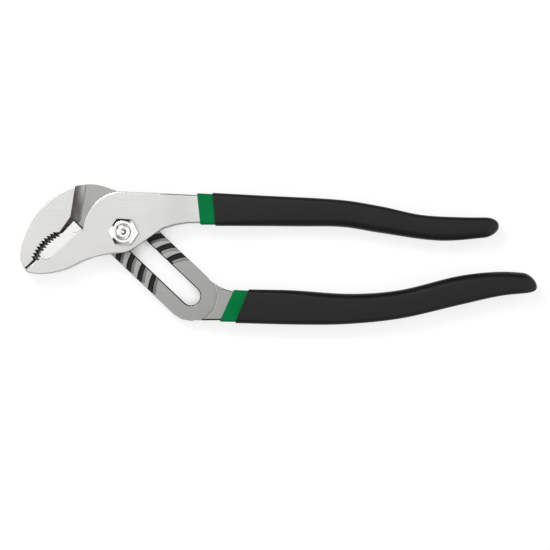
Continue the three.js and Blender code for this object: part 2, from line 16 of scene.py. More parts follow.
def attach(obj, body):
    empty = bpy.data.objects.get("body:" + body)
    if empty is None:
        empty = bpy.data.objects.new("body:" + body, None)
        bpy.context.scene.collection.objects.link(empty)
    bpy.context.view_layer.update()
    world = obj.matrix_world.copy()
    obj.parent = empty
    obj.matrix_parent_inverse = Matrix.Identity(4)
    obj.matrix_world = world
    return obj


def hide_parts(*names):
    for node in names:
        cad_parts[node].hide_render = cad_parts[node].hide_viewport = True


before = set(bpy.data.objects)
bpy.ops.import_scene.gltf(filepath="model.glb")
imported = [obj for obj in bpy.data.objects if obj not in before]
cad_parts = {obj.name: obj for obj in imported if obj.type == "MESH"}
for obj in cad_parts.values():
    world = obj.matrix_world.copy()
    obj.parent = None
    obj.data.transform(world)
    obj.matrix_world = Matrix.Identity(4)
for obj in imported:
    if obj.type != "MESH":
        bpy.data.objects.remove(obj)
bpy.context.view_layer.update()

LOG = logging.getLogger("pliers")

Point = tuple[float, float]
Triple = tuple[float, float, float]
Colour = Triple

MM = 0.001
WHITE: Colour = (1, 1, 1)
CLOUD_SPAN: Point = (0.3, 0.7)

# Refining of the meshes. The first three are limits, the last three the degrees past which edges stay sharp
WELD = 0.002 * MM
FLAT_ANGLE = math.radians(0.1)
BROKEN_ANGLE = math.radians(40)
SHARP_ANGLE = 38
NUT_SHARP_ANGLE = 12
GRIP_SHARP_ANGLE = 60

# Limits of the upward share of a face's normal, by which the faces are told apart
FACES_FRONT = 0.97
CHAMFER_TILT = 0.6
WALL_TILT = 0.5
NUT_WALL_TILT = 0.3
HOLLOW_TILT = 0.2

# The bolt's way along its slot, and the ends of the step behind the upper jaw's face, in millimetres
SLOT_WAY: Point = (0.7254, -0.6884)
STEP_FOOT: Point = (-31.1, 8.8)
STEP_TOP: Point = (-28.2, 27.0)


class Side(Enum):
    """The side of a handle that faces the other handle."""

    TOP = "top"
    BOTTOM = "bottom"


class Body(Enum):
    """The rigid bodies that the pieces ride on."""

    GROOVED_HALF = "grooved_half"
    PIVOT = "pivot"
    TONGUE_HALF = "tongue_half"


class Zone(Enum):
    """The zones of a forged half that look different."""

    POLISHED = "polished"
    BLASTED = "blasted"
    HOLLOW = "hollow"
    # the groove, chamfer and wall zones below are coloured as painted shade
    GROOVE = "groove"
    CHAMFER = "chamfer"
    # a near-black finish as painted shade on walls that lie in shadow
    HARDENED = "wall_shade"


class Slot(Enum):
    """The record's material slots."""

    SATIN_NICKEL = "satin_nickel"
    BRIGHT_NICKEL = "bright_nickel"
    GREEN_DIP = "green_dip"
    BLACK_DIP = "black_dip"


def linear(*levels: int) -> Colour:
    """Turns display levels from 0 to 255 into a linear colour.

    Args:
        levels: red, green and blue as they look on a display.

    Returns:
        The same colour in linear light.
    """
    shares = [level / 255 for level in levels]
    return tuple(s / 12.92 if s <= 0.04045 else ((s + 0.055) / 1.055) ** 2.4 for s in shares)


def smoothstep(value: float, low: float, high: float) -> float:
    """Eases a value from 0 at low to 1 at high.

    Args:
        value: where to read the step.
        low: where it starts.
        high: where it ends.

    Returns:
        A share from 0 to 1.
    """
    share = min(max((value - low) / (high - low), 0), 1)
    return share * share * (3 - 2 * share)


def lerp(low: float, high: float, share: float) -> float:
    """Mixes two numbers by a share."""
    return low + (high - low) * share


def times(colour: Colour, factor: float) -> Colour:
    """Makes a colour darker or brighter, up to white."""
    return tuple(min(factor * part, 1) for part in colour)


# Shader maths


class Value:
    """A shader socket on which arithmetic adds Math nodes."""

    def __init__(self, graph: "Graph", socket: bpy.types.NodeSocket) -> None:
        """Wraps a socket of a graph."""
        self.graph = graph
        self.socket = socket

    def _math(self, operation: str, first: Any, second: Any) -> "Value":
        """Adds one Math node for two operands."""
        return self.graph.node("ShaderNodeMath", {"operation": operation}, {0: first, 1: second})

    def __add__(self, other: Any) -> "Value":
        """Adds."""
        return self._math("ADD", self, other)

    def __radd__(self, other: Any) -> "Value":
        """Adds from the left."""
        return self._math("ADD", other, self)

    def __sub__(self, other: Any) -> "Value":
        """Subtracts."""
        return self._math("SUBTRACT", self, other)

    def __rsub__(self, other: Any) -> "Value":
        """Subtracts from a number."""
        return self._math("SUBTRACT", other, self)

    def __mul__(self, other: Any) -> "Value":
        """Multiplies."""
        return self._math("MULTIPLY", self, other)

    def __rmul__(self, other: Any) -> "Value":
        """Multiplies from the left."""
        return self._math("MULTIPLY", other, self)

    def __truediv__(self, other: Any) -> "Value":
        """Divides."""
        return self._math("DIVIDE", self, other)

    def __rtruediv__(self, other: Any) -> "Value":
        """Divides a number."""
        return self._math("DIVIDE", other, self)

    def between(self, low: float, high: float) -> "Value":
        """Maps low to high onto 0 to 1, eased and held at both ends."""
        settings = {"interpolation_type": "SMOOTHSTEP"}
        return self.graph.node("ShaderNodeMapRange", settings, {0: self, 1: low, 2: high})

    def line(self, middle: float, width: float) -> "Value":
        """A soft line, 1 at its middle and 0 from its width on to both sides."""
        return self.between(middle - width, middle) * self.between(middle + width, middle)


class Graph:
    """A node tree that is built by expressions."""

    def __init__(self, tree: bpy.types.NodeTree) -> None:
        """Empties a tree and takes it over."""
        self.tree = tree
        tree.nodes.clear()

    def node(self, kind: str, settings: dict[str, Any], sockets: dict[Any, Any], output: Any = 0) -> Value:
        """Adds a node.

        Args:
            kind: the node's type.
            settings: its properties, and under "stops" a ramp's positions and colours.
            sockets: values or links of its inputs, by name or number.
            output: the output to return, by name or number.

        Returns:
            The chosen output.
        """
        made = self.tree.nodes.new(kind)
        for name, setting in settings.items():
            if name == "stops":
                self._set_stops(made.color_ramp, setting)
            else:
                setattr(made, name, setting)
        for key, value in sockets.items():
            self._feed(made.inputs[key], value)
        return Value(self, made.outputs[output])

    def _set_stops(self, ramp: bpy.types.ColorRamp, stops: Sequence[tuple[float, Colour]]) -> None:
        """Gives a ramp its stops."""
        while len(ramp.elements) < len(stops):
            ramp.elements.new(1)
        for element, (position, colour) in zip(ramp.elements, stops):
            element.position = position
            element.color = (*colour, 1)

    def _feed(self, socket: bpy.types.NodeSocket, value: Any) -> None:
        """Links or sets one input."""
        if isinstance(value, Value):
            self.tree.links.new(value.socket, socket)
        elif socket.type == "RGBA":
            socket.default_value = (*value, 1)
        else:
            socket.default_value = value

    def place(self) -> Value:
        """The place on the object, in metres."""
        return self.node("ShaderNodeTexCoord", {}, {}, "Object")

    def vector(self, operation: str, first: Value, second: Triple = (0, 0, 0), output: Any = 0) -> Value:
        """Adds one Vector Math node."""
        return self.node("ShaderNodeVectorMath", {"operation": operation}, {0: first, 1: second}, output)

    def stretched(self, place: Value, stretch: Triple) -> Value:
        """Scales a place along its three axes."""
        return self.vector("MULTIPLY", place, stretch)

    def along(self, place: Value, way: Point) -> Value:
        """How far a place lies along a way in the picture's plane, in millimetres."""
        return self.vector("DOT_PRODUCT", place, (*way, 0.0), "Value") / MM

    def noise(self, place: Value, size: float, detail: float = 3, roughness: float = 0.5) -> Value:
        """Adds cloudy noise.

        Args:
            place: where to read it.
            size: the size of its largest features, in metres.
            detail: the number of finer layers.
            roughness: how strong the finer layers are.

        Returns:
            A value around 0.5.
        """
        sockets = {"Vector": place, "Scale": 1 / size, "Detail": detail, "Roughness": roughness}
        return self.node("ShaderNodeTexNoise", {}, sockets)

    def cells(self, place: Value, size: float) -> Value:
        """The distance to the nearest of many scattered points, in cells."""
        return self.node("ShaderNodeTexVoronoi", {}, {"Vector": place, "Scale": 1 / size}, "Distance")

    def mix(self, share: Any, low: Any, high: Any) -> Value:
        """Mixes two colours by a share."""
        return self.node("ShaderNodeMix", {"data_type": "RGBA"}, {0: share, 6: low, 7: high}, 2)

    def bump(self, height: Value, depth: float, normal: Value | None = None) -> Value:
        """Turns a height into a normal.

        Args:
            height: a value from 0 to 1.
            depth: the height of 1, in metres.
            normal: a normal to add to, if there is one.

        Returns:
            The normal.
        """
        sockets = {"Height": height, "Distance": depth, "Strength": 1}
        if normal is not None:
            sockets["Normal"] = normal
        return self.node("ShaderNodeBump", {}, sockets)

    def end(self, kind: str, shader: Value) -> None:
        """Ends the tree in an output node of a type."""
        self.tree.links.new(shader.socket, self.tree.nodes.new(kind).inputs["Surface"])

    def surface(self, sockets: dict[str, Any]) -> None:
        """Ends the tree in a Principled surface with these inputs."""
        shader = self.node("ShaderNodeBsdfPrincipled", {}, sockets)
        self.end("ShaderNodeOutputMaterial", shader)


def new_graph(name: str) -> tuple[bpy.types.Material, Graph]:
    """Makes an empty material.

    Args:
        name: the material's name.

    Returns:
        The material and its graph.
    """
    material = bpy.data.materials.new(name)
    material.use_nodes = True
    return material, Graph(material.node_tree)


# Finishes


@dataclass(frozen=True)
class PlatedSteel:
    """Nickel over ground or turned steel: fine parallel grain, faint clouds, a few hairline scratches."""

    name: str
    colour: Colour
    roughness: float
    grain_stretch: Triple = (0.06, 1.0, 1.0)
    grain_size: float = 0.5 * MM
    grain_depth: float = 0.0012 * MM
    grain_contrast: float = 0.04
    stripe_depth: float = 0.07
    stripe_span: Point = (0.4, 0.8)
    cloud_size: float = 22 * MM
    cloud_strength: float = 0.03
    speckle_size: float = 0.35 * MM
    speckle_depth: float = 0.0008 * MM
    speckle_contrast: float = 0.03
    scratch_stretch: Triple = (0.03, 1.0, 1.0)
    scratch_spacing: float = 2.6 * MM
    scratch_width: float = 0.03
    scratch_share: float = 0.15

    def tone(self, graph: Graph, place: Value) -> Value:
        """The colour, with its clouds and the grain's own faint stripes."""
        clouds = graph.noise(place, self.cloud_size, 4, 0.55).between(*CLOUD_SPAN)
        dim_tone = times(self.colour, 1 - self.cloud_strength)
        bright = times(self.colour, 1 + self.cloud_strength)
        stripes = graph.noise(graph.stretched(place, self.grain_stretch), 3 * self.grain_size, 3, 0.6)
        dark = times(self.colour, 1 - self.stripe_depth)
        return graph.mix(stripes.between(*self.stripe_span), graph.mix(clouds, dim_tone, bright), dark)

    def material(self) -> bpy.types.Material:
        """Builds the finish."""
        material, graph = new_graph(self.name)
        place = graph.place()
        grain = graph.noise(graph.stretched(place, self.grain_stretch), self.grain_size, 4, 0.6)
        speckle = graph.noise(place, self.speckle_size, 2)
        cells = graph.cells(graph.stretched(place, self.scratch_stretch), self.scratch_spacing)
        scratches = cells.between(self.scratch_width, 0.0)
        normal = graph.bump(grain, self.grain_depth)
        normal = graph.bump(speckle - self.scratch_share * scratches, self.speckle_depth, normal)
        uneven = (grain - 0.5) * self.grain_contrast + (speckle - 0.5) * self.speckle_contrast
        graph.surface({
            "Base Color": self.tone(graph, place),
            "Metallic": 1.0,
            "Roughness": self.roughness + uneven,
            "Normal": normal,
        })
        return material


@dataclass(frozen=True)
class PaintedArcLightSteel(PlatedSteel):
    """The same with a painted arc along a step's edge: a painted highlight line, and a painted shade line
    inside it. The arc's sizes are in millimetres.
    """

    arc_centre: Point = (0.0, 0.0)
    arc_radius: float = 10.0
    arc_width: float = 0.3
    arc_middle: Point = (1.0, 0.0)
    arc_from: float = 0.0
    arc_fade: float = 2.0
    light: float = 0.9
    light_factor: float = 1.7
    shade: float = 0.55
    shade_factor: float = 0.3

    def tone(self, graph: Graph, place: Value) -> Value:
        """The colour, with a painted highlight arc and a painted shade arc inside it."""
        centre = (self.arc_centre[0] * MM, self.arc_centre[1] * MM, 0.0)
        flat = graph.stretched(place, (1.0, 1.0, 0.0))
        offset = graph.vector("SUBTRACT", flat, centre)
        radius = graph.vector("LENGTH", offset, output="Value") / MM
        ahead = graph.along(offset, self.arc_middle)
        near = ahead.between(self.arc_from, self.arc_from + self.arc_fade)
        width = self.arc_width
        # painted highlight outside the arc's middle, painted shade inside it
        bright = near * radius.line(self.arc_radius + width / 2, width)
        dark = near * radius.line(self.arc_radius - width / 2, width)
        base = PlatedSteel.tone(self, graph, place)
        lit = graph.mix(self.light * bright, base, times(self.colour, self.light_factor))
        return graph.mix(self.shade * dark, lit, times(self.colour, self.shade_factor))


@dataclass(frozen=True)
class MilledHollow(PlatedSteel):
    """Steel hollowed along a step, with painted shade: dark at the step, paler away from it, and a dark line
    at the hollow's end edge.

    The step's and the hollow's sizes are in millimetres.
    """

    step_foot: Point = STEP_FOOT
    step_top: Point = STEP_TOP
    pale_from: float = 1.6
    pale_to: float = 3.1
    paler: float = 1.05
    hollow_run: float = 5.7
    line_width: float = 0.5
    line_share: float = 0.75
    line_factor: float = 0.25

    def tone(self, graph: Graph, place: Value) -> Value:
        """The colour, by the distance from the step, with the painted shade."""
        way = (Vector(self.step_top) - Vector(self.step_foot)).normalized()
        across = Vector((way.y, -way.x))
        run = graph.along(place, (across.x, across.y)) - across.dot(Vector(self.step_foot))
        away = run.between(self.pale_from, self.pale_to)
        base = PlatedSteel.tone(self, graph, place)
        pale = graph.mix(away, base, times(self.colour, self.paler))
        # a painted shade line along the hollow's end edge
        line = self.line_share * run.line(self.hollow_run, self.line_width)
        return graph.mix(line, pale, times(self.colour, self.line_factor))


@dataclass(frozen=True)
class DippedVinyl:
    """Vinyl that a handle was dipped in: an even colour, a soft sheen, long ripples and a few pin holes."""

    name: str
    colour: Colour
    roughness: float
    sheen_colour: Colour
    shine: float
    ripple_size: float = 9 * MM
    ripple_stretch: Triple = (0.45, 1.0, 1.0)
    ripple_depth: float = 0.05 * MM
    pebble_size: float = 0.9 * MM
    pebble_depth: float = 0.03 * MM
    pebble_contrast: float = 0.16
    cloud_size: float = 16 * MM
    cloud_strength: float = 0.1
    cloud_contrast: float = 0.05
    pit_spacing: float = 5 * MM
    pit_rim: float = 0.055
    pit_floor: float = 0.03
    dust_size: float = 0.25 * MM
    dust_span: Point = (0.66, 0.78)
    dust_share: float = 0.25

    def material(self) -> bpy.types.Material:
        """Builds the finish."""
        material, graph = new_graph(self.name)
        place = graph.place()
        ripples = graph.noise(graph.stretched(place, self.ripple_stretch), self.ripple_size, 2)
        pebbles = graph.noise(place, self.pebble_size, 3, 0.6)
        clouds = graph.noise(place, self.cloud_size, 4, 0.6).between(*CLOUD_SPAN)
        pits = graph.cells(place, self.pit_spacing).between(self.pit_rim, self.pit_floor)
        dust = graph.noise(place, self.dust_size, 1).between(*self.dust_span)
        dim_tone = times(self.colour, 1 - self.cloud_strength)
        tone = graph.mix(clouds, dim_tone, times(self.colour, 1 + self.cloud_strength))
        tone = graph.mix(dust * self.dust_share, tone, self.sheen_colour)
        roughness = self.roughness + (pebbles - 0.5) * self.pebble_contrast + clouds * self.cloud_contrast
        normal = graph.bump(ripples, self.ripple_depth)
        normal = graph.bump(pebbles - pits, self.pebble_depth, normal)
        graph.surface({
            "Base Color": tone,
            "Roughness": roughness,
            "Specular IOR Level": self.shine,
            "Normal": normal,
        })
        return material


@dataclass(frozen=True)
class StudioFloor:
    """Pale matt paper whose shadows are lifted for the camera, as on a lit table, but not in narrow gaps,
    where its colour is darkened as painted shade.
    """

    name: str = "pale_paper"
    colour: Colour = (0.93, 0.93, 0.93)
    roughness: float = 0.9
    shine: float = 0.1
    fibre_size: float = 1.5 * MM
    fibre_tone: float = 0.995
    lift: float = 0.74
    gap_samples: int = 8
    gap_reach: float = 15 * MM
    gap_shade: float = 0.1
    gap_below: float = 0.21
    clear_above: float = 0.34

    def material(self) -> bpy.types.Material:
        """Builds the finish."""
        material, graph = new_graph(self.name)
        fibres = graph.noise(graph.place(), self.fibre_size, 3)
        sockets = {"Distance": self.gap_reach}
        openness = graph.node("ShaderNodeAmbientOcclusion", {"samples": self.gap_samples}, sockets, "AO")
        clear = openness.between(self.gap_below, self.clear_above)
        tone = graph.mix(fibres, times(self.colour, self.fibre_tone), self.colour)
        # painted shade: the paper's colour is darkened in narrow gaps under the tool
        tone = graph.mix(clear, times(self.colour, self.gap_shade), tone)
        sockets = {"Base Color": tone, "Roughness": self.roughness, "Specular IOR Level": self.shine}
        paper = graph.node("ShaderNodeBsdfPrincipled", {}, sockets)
        glow = graph.node("ShaderNodeEmission", {}, {"Color": WHITE, "Strength": 1.0})
        seen = graph.node("ShaderNodeLightPath", {}, {}, "Is Camera Ray")
        share = seen * self.lift * clear
        lit = graph.node("ShaderNodeMixShader", {}, {0: share, 1: paper, 2: glow})
        graph.end("ShaderNodeOutputMaterial", lit)
        return material


# Meshes


def add_object(name: str, data: bpy.types.ID) -> bpy.types.Object:
    """Puts a mesh, a lamp or a camera into the scene as an object."""
    made = bpy.data.objects.new(name, data)
    bpy.context.scene.collection.objects.link(made)
    return made


def mark_sharp(mesh: bpy.types.Mesh, angle: float) -> None:
    """Shades a mesh smooth, apart from edges that turn by more than an angle.

    Args:
        mesh: the mesh.
        angle: the angle in degrees.
    """
    work = bmesh.new()
    work.from_mesh(mesh)
    for face in work.faces:
        face.smooth = True
    for edge in work.edges:
        edge.smooth = len(edge.link_faces) == 2 and edge.calc_face_angle(0) < math.radians(angle)
    work.to_mesh(mesh)
    work.free()


def mesh_of_rings(name: str, rings: Sequence[Sequence[Vector]], closed: bool, sharp: float) -> bpy.types.Mesh:
    """Joins rings of equally many points, given in millimetres.

    Args:
        name: the mesh's name.
        rings: the rings in order.
        closed: whether the last ring joins the first; otherwise both ends are capped.
        sharp: edges that turn by more than this many degrees stay sharp.

    Returns:
        The mesh, in metres.
    """
    size = len(rings[0])
    work = bmesh.new()
    rows = [[work.verts.new(Vector(corner) * MM) for corner in ring] for ring in rings]
    pairs = list(zip(rows, rows[1:]))
    if closed:
        pairs.append((rows[-1], rows[0]))
    for low, high in pairs:
        for i in range(size):
            j = (i + 1) % size
            work.faces.new((low[i], low[j], high[j], high[i]))
    if not closed:
        work.faces.new(rows[0][::-1])
        work.faces.new(rows[-1])
    bmesh.ops.recalc_face_normals(work, faces=work.faces)
    mesh = bpy.data.meshes.new(name)
    work.to_mesh(mesh)
    work.free()
    mark_sharp(mesh, sharp)
    return mesh


def refined_copy(node: str, name: str) -> bpy.types.Object:
    """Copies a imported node, welds it, and joins the triangles of its flat faces.

    Args:
        node: the node's name.
        name: the new object's name.

    Returns:
        The new object.
    """
    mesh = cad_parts[node].data.copy()
    mesh.materials.clear()
    if "custom_normal" in mesh.attributes:
        mesh.attributes.remove(mesh.attributes["custom_normal"])
    work = bmesh.new()
    work.from_mesh(mesh)
    bmesh.ops.remove_doubles(work, verts=work.verts, dist=WELD)
    bmesh.ops.dissolve_limit(work, angle_limit=FLAT_ANGLE, verts=work.verts, edges=work.edges)
    bmesh.ops.recalc_face_normals(work, faces=work.faces)
    work.to_mesh(mesh)
    work.free()
    mark_sharp(mesh, SHARP_ANGLE)
    return add_object(name, mesh)


def soften_edges(piece: bpy.types.Object, width: float) -> None:
    """Breaks a piece's sharp edges with a fine rounding, and keeps its flat faces flat in the light.

    Args:
        piece: the piece.
        width: the width of the rounding, in metres.
    """
    bevel = piece.modifiers.new("broken_edges", "BEVEL")
    bevel.width = width
    bevel.segments = 2
    bevel.limit_method = "ANGLE"
    bevel.angle_limit = BROKEN_ANGLE
    bevel.use_clamp_overlap = False
    normals = piece.modifiers.new("flat_faces", "WEIGHTED_NORMAL")
    normals.mode = "FACE_AREA"
    normals.weight = 100
    normals.keep_sharp = True


def install(piece: bpy.types.Object, node: str, body: Body) -> None:
    """Lets a piece stand for a node and move with a body."""
    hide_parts(node)
    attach(piece, body.value)
    LOG.info("%s rides on %s and replaces %s", piece.name, body.value, node)


# Sub-assemblies


@dataclass
class ToothRow:
    """The arc between the closed jaws' teeth. Sizes in millimetres."""

    foot: Point = (-51.4, -16.1)
    head: Point = (-38.1, -0.9)
    tip: Point = (-57.3, -21.4)
    bow: float = 2.1
    band: float = 2.3
    tip_band: float = 1.2
    end_room: float = 0.04
    wear: float = 0.36

    def _circle(self) -> tuple[Vector, float]:
        """The arc's centre and radius."""
        foot, head = Vector(self.foot), Vector(self.head)
        chord = head - foot
        radius = ((chord.length / 2) ** 2 + self.bow**2) / (2 * self.bow)
        inwards = Vector((chord.y, -chord.x)).normalized()
        return (foot + head) / 2 + inwards * (radius - self.bow), radius

    def _along(self, place: Vector) -> float:
        """How far along the row a place lies, from 0 at its foot to 1 at its head."""
        chord = Vector(self.head) - Vector(self.foot)
        return (place - Vector(self.foot)).dot(chord) / chord.length_squared

    def holds(self, place: Vector) -> bool:
        """Whether a place lies in the rows of teeth along the arc."""
        centre, radius = self._circle()
        within = -self.end_room < self._along(place) < 1 + self.end_room
        return within and abs((place - centre).length - radius) < self.band

    def at_tip(self, place: Vector) -> bool:
        """Whether a place lies on the closed edges between the teeth and the jaws' tips."""
        foot, tip = Vector(self.foot), Vector(self.tip)
        near, share = intersect_point_line(place, foot, tip)
        return 0 < share < 1 and (near.xy - place).length < self.tip_band

    def worn(self, place: Vector) -> Vector:
        """How far a corner of the teeth is set back from the arc, so that a gap shows between the rows."""
        if not self.holds(place):
            return Vector((0, 0))
        centre, radius = self._circle()
        offset = place - centre
        return offset.normalized() * math.copysign(self.wear, offset.length - radius)


@dataclass
class ForgedHalf:
    """One forged half: polished faces, a blasted, grooved neck, a milled hollow, and teeth, slot edges and
    grooves darkened as painted shade.

    Its sizes are in millimetres, apart from the edges' width.
    """

    node: str
    name: str
    body: Body
    face_edges: Sequence[tuple[Point, Point]] = ()
    teeth: ToothRow = field(default_factory=ToothRow)
    face_room: float = 0.15
    hollow_end: float = -15.0
    neck_front: float = 9.1
    front_room: float = 0.05
    groove_floor: float = 6.7
    floor_room: float = 0.1
    slot_start: float = -12.0
    slot_half: float = 6.2
    neck_half: float = 14.3
    edge_width: float = 0.12 * MM

    def build(self) -> bpy.types.Object:
        """Makes the refined half, its teeth a little worn."""
        piece = refined_copy(self.node, self.name)
        for corner in piece.data.vertices:
            shift = self.teeth.worn(corner.co.xy / MM)
            corner.co += Vector((*shift, 0)) * MM
        soften_edges(piece, self.edge_width)
        return piece

    def _past_face(self, centre: Vector) -> bool:
        """Whether a place lies to the right of one of the edges that end the jaw's polished face."""
        for start, end in self.face_edges:
            way = Vector(end) - Vector(start)
            offset = centre.xy - Vector(start)
            if way.y * offset.x - way.x * offset.y > self.face_room * way.length:
                return True
        return False

    def zone(self, centre: Vector, normal: Vector) -> Zone:
        """The zone that a face belongs to.

        Args:
            centre: the face's centre, in millimetres.
            normal: its normal.

        Returns:
            The zone.
        """
        wall = abs(normal.z) < WALL_TILT
        # walls in the teeth, at the tips, along the slot and in the grooves are coloured near black as
        # painted shade
        if wall and (self.teeth.holds(centre.xy) or self.teeth.at_tip(centre.xy)):
            return Zone.HARDENED
        if not self._past_face(centre):
            return Zone.POLISHED
        tilted = HOLLOW_TILT < normal.z < FACES_FRONT
        if tilted and centre.z > self.neck_front and centre.x < self.hollow_end:
            return Zone.HOLLOW
        if normal.z < FACES_FRONT and self._near_slot(centre, self.slot_half):
            return Zone.HARDENED
        below_front = self.groove_floor - self.floor_room < centre.z < self.neck_front - self.front_room
        if below_front and self._near_slot(centre, self.neck_half):
            return self._groove_zone(normal)
        return Zone.BLASTED

    def _near_slot(self, centre: Vector, half: float) -> bool:
        """Whether a place lies along the bolt's slot, within a distance of its middle line."""
        x, y = SLOT_WAY
        ahead = centre.x * x + centre.y * y
        aside = centre.y * x - centre.x * y
        return self.slot_start < ahead and abs(aside) < half

    @staticmethod
    def _groove_zone(normal: Vector) -> Zone:
        """The zone of a face below the neck's front: a groove's floor, its chamfer or its wall, each coloured
        as painted shade.
        """
        if normal.z > FACES_FRONT:
            return Zone.GROOVE
        return Zone.CHAMFER if normal.z > CHAMFER_TILT else Zone.HARDENED

    def dress(self, piece: bpy.types.Object, finishes: dict[Zone, bpy.types.Material]) -> None:
        """Gives each face the finish of its zone."""
        order = list(Zone)
        for zone in order:
            piece.data.materials.append(finishes[zone])
        for face in piece.data.polygons:
            face.material_index = order.index(self.zone(face.center / MM, face.normal))
        install(piece, self.node, self.body)


@dataclass
class PivotFastener:
    """The shoulder bolt and its hexagon nut. Sizes in millimetres."""

    head_diameter: float = 19.0
    head_height: float = 3.0
    shank_diameter: float = 10.1
    shank_end: float = 15.2
    thread_diameter: float = 8.0
    bolt_end: float = 22.3
    dimple_radius: float = 1.7
    dimple_depth: float = 1.2
    dimple_shade: Point = (1.0, -0.6)
    dimple_limit: float = -0.12
    axis_hole: float = 0.05
    across_flats: float = 15.0
    nut_back: float = 15.4
    nut_front: float = 21.4
    nut_turn: float = math.radians(-3.8)
    nut_top_radius: float = 6.2
    cone_slope: float = 0.58
    bore_play: float = 0.3
    lead_in: float = 0.55
    cone_break: float = 0.12
    back_break: float = 0.2
    segments: int = 144

    def _ring(self, radius: Callable[[float], float], level: Callable[[float], float]) -> list[Vector]:
        """One ring round the pivot axis, whose radius and level may change with the angle."""
        angles = [2 * math.pi * i / self.segments for i in range(self.segments)]
        return [Vector((radius(a) * math.cos(a), radius(a) * math.sin(a), level(a))) for a in angles]

    def _turned(self, profile: Sequence[Point]) -> list[list[Vector]]:
        """Rings of a turned profile of radius and level."""
        return [self._ring(lambda _, r=r: r, lambda _, z=z: z) for r, z in profile]

    def _flat_radius(self, angle: float) -> float:
        """The distance from the axis to the hexagon's side at an angle."""
        sixth = math.pi / 3
        turn = (angle - self.nut_turn) % sixth - sixth / 2
        return self.across_flats / 2 / math.cos(turn)

    def build_bolt(self) -> bpy.types.Object:
        """Makes the bolt."""
        head = self.head_diameter / 2
        shank = self.shank_diameter / 2
        thread = self.thread_diameter / 2
        top = self.bolt_end
        dimple, deep = self.dimple_radius, self.dimple_depth
        profile = [
            # the head, rounded at its back
            (self.axis_hole, 0.0), (head - 1.0, 0.0), (head - 0.45, 0.14), (head - 0.12, 0.45), (head, 0.9),
            (head, self.head_height - 0.25), (head - 0.25, self.head_height),
            # the shank, with a fillet at the head and a chamfer at its end
            (shank + 0.2, self.head_height), (shank, self.head_height + 0.2),
            (shank, self.shank_end - 0.3), (shank - 0.3, self.shank_end),
            # the thread's rounded end
            (thread, self.shank_end), (thread, top - 0.75), (thread - 0.2, top - 0.35),
            (thread - 0.55, top - 0.1), (thread - 0.95, top),
            # the dimple
            (dimple + 0.15, top), (dimple - 0.15, top - 0.12), (0.75 * dimple, top - 0.45 * deep),
            (0.4 * dimple, top - 0.85 * deep), (self.axis_hole, top - deep),
        ]
        name = "pivot_bolt_turned"
        return add_object(name, mesh_of_rings(name, self._turned(profile), False, SHARP_ANGLE))

    def build_nut(self) -> bpy.types.Object:
        """Makes the nut, its corners cut back by a cone."""
        bore = self.thread_diameter / 2 + self.bore_play
        front = self.nut_front

        def coned(angle: float) -> float:
            """The level at which the cone meets a flat."""
            return front - max(0.0, self._flat_radius(angle) - self.nut_top_radius) * self.cone_slope

        top = self.nut_top_radius
        bored = [(bore, self.nut_back), (bore, front - self.lead_in), (bore + self.lead_in, front)]
        rings = [
            *self._turned([*bored, (top - self.cone_break, front), (top + 0.1, front - 0.06)]),
            self._ring(lambda a: self._flat_radius(a) - 0.08, coned),
            self._ring(self._flat_radius, lambda a: coned(a) - self.cone_break),
            self._ring(self._flat_radius, lambda _: self.nut_back + self.back_break),
            self._ring(lambda a: self._flat_radius(a) - self.back_break, lambda _: self.nut_back),
        ]
        name = "pivot_nut_milled"
        return add_object(name, mesh_of_rings(name, rings, True, NUT_SHARP_ANGLE))

    def _shaded(self, centre: Vector, normal: Vector) -> bool:
        """Whether a face takes painted shade: one of the nut's walls, or the side of the dimple in its own
        shade.
        """
        if centre.xy.length < self.dimple_radius:
            return centre.z > self.nut_front and normal.xy.dot(Vector(self.dimple_shade)) < self.dimple_limit
        outside = centre.xy.length > (self.thread_diameter + self.bore_play) / 2
        return outside and centre.z > self.nut_back and abs(normal.z) < NUT_WALL_TILT

    def dress(self, bright: bpy.types.Material, dim_tone: bpy.types.Material) -> None:
        """Builds both pieces and gives their faces a bright finish, and their walls and the dimple's shaded
        side a dark finish as painted shade.
        """
        for piece, node in ((self.build_bolt(), "pivot_bolt"), (self.build_nut(), "pivot_nut")):
            piece.data.materials.append(bright)
            piece.data.materials.append(dim_tone)
            for face in piece.data.polygons:
                face.material_index = int(self._shaded(face.center / MM, face.normal))
            install(piece, node, Body.PIVOT)


